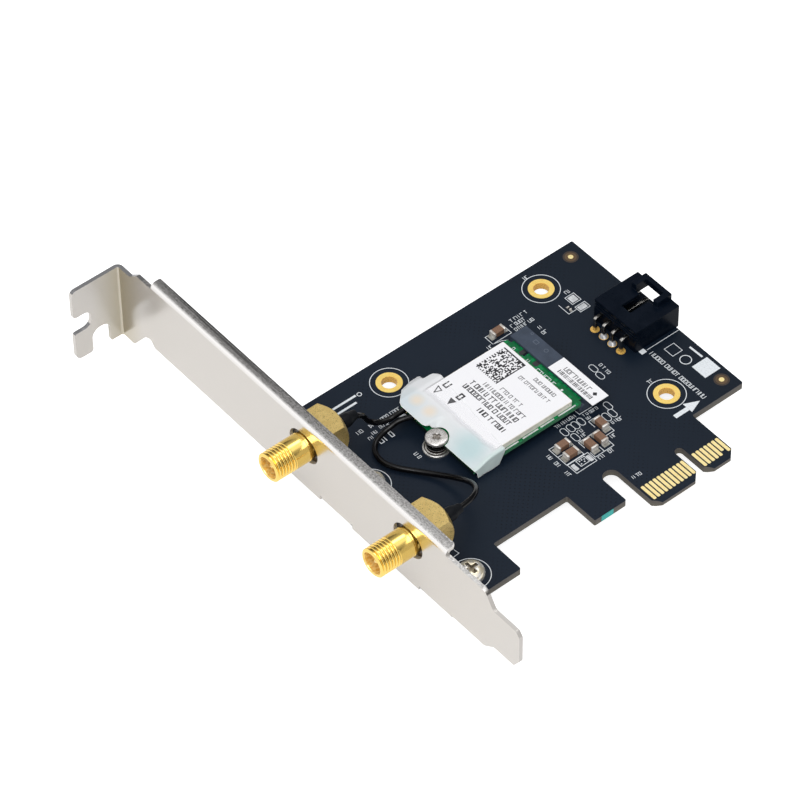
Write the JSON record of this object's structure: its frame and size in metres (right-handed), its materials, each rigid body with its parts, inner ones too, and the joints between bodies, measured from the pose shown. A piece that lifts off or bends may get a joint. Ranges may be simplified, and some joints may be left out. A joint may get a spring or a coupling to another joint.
{
  "type": "pcie wifi card",
  "caption": "Expansion card with a metal slot bracket, threaded antenna sockets, a small radio module in its own socket and an edge connector.",
  "frame": {"origin": "middle of the key notch, on the tip of the edge connector, on the component side of the board", "axes": "+X from the slot bracket to the rear of the card, +Y from the edge contacts to the top of the card, +Z out of the component side"},
  "size_m": [0.0925, 0.1209, 0.0226],
  "materials": {
    "board": "very dark navy solder mask, satin",
    "gold_plating": "thin gold plating",
    "bracket_steel": "nickel plated steel sheet",
    "screw_steel": "bright plated steel",
    "jack_gold": "polished gold plated brass",
    "insulator": "pale fluoroplastic",
    "sleeve_rubber": "black heat-shrink",
    "cable_black": "black glossy jacket",
    "module_green": "green solder mask",
    "shield_metal": "bright tinned sheet",
    "label_white": "white printed label",
    "socket_grey": "dark slate moulding",
    "tape_film": "milky clear film",
    "header_black": "black moulding",
    "pin_tin": "bright tin",
    "capacitor_brown": "brown ceramic",
    "resistor_black": "black film"
  },
  "bodies": {
    "root": {"circuit_board": "board", "edge_contacts_top": "gold_plating", "edge_contacts_bottom": "gold_plating", "hole_rings": "gold_plating", "fiducial_dots": "gold_plating", "bracket": "bracket_steel", "bracket_screws": "screw_steel", "antenna_jack_1": "jack_gold", "antenna_jack_2": "jack_gold", "jack_insulator_1": "insulator", "jack_insulator_2": "insulator", "jack_pin_1": "jack_gold", "jack_pin_2": "jack_gold", "cable_sleeve_1": "sleeve_rubber", "cable_sleeve_2": "sleeve_rubber", "coax_cable_1": "cable_black", "coax_cable_2": "cable_black", "coax_plug_1": "gold_plating", "coax_plug_2": "gold_plating", "module_receptacles": "gold_plating", "module_board": "module_green", "module_edge_contacts": "gold_plating", "module_shield": "shield_metal", "module_label": "label_white", "module_socket": "socket_grey", "socket_contacts": "pin_tin", "socket_label": "label_white", "module_standoff": "screw_steel", "module_screw": "screw_steel", "plug_tape": "tape_film", "header_shroud": "header_black", "header_pins": "pin_tin", "header_pads": "gold_plating", "header_solder": "pin_tin", "capacitor_bodies": "capacitor_brown", "capacitor_ends": "pin_tin", "resistor_body": "resistor_black", "resistor_ends": "pin_tin", "solder_pads": "pin_tin"}
  },
  "joints": []
}
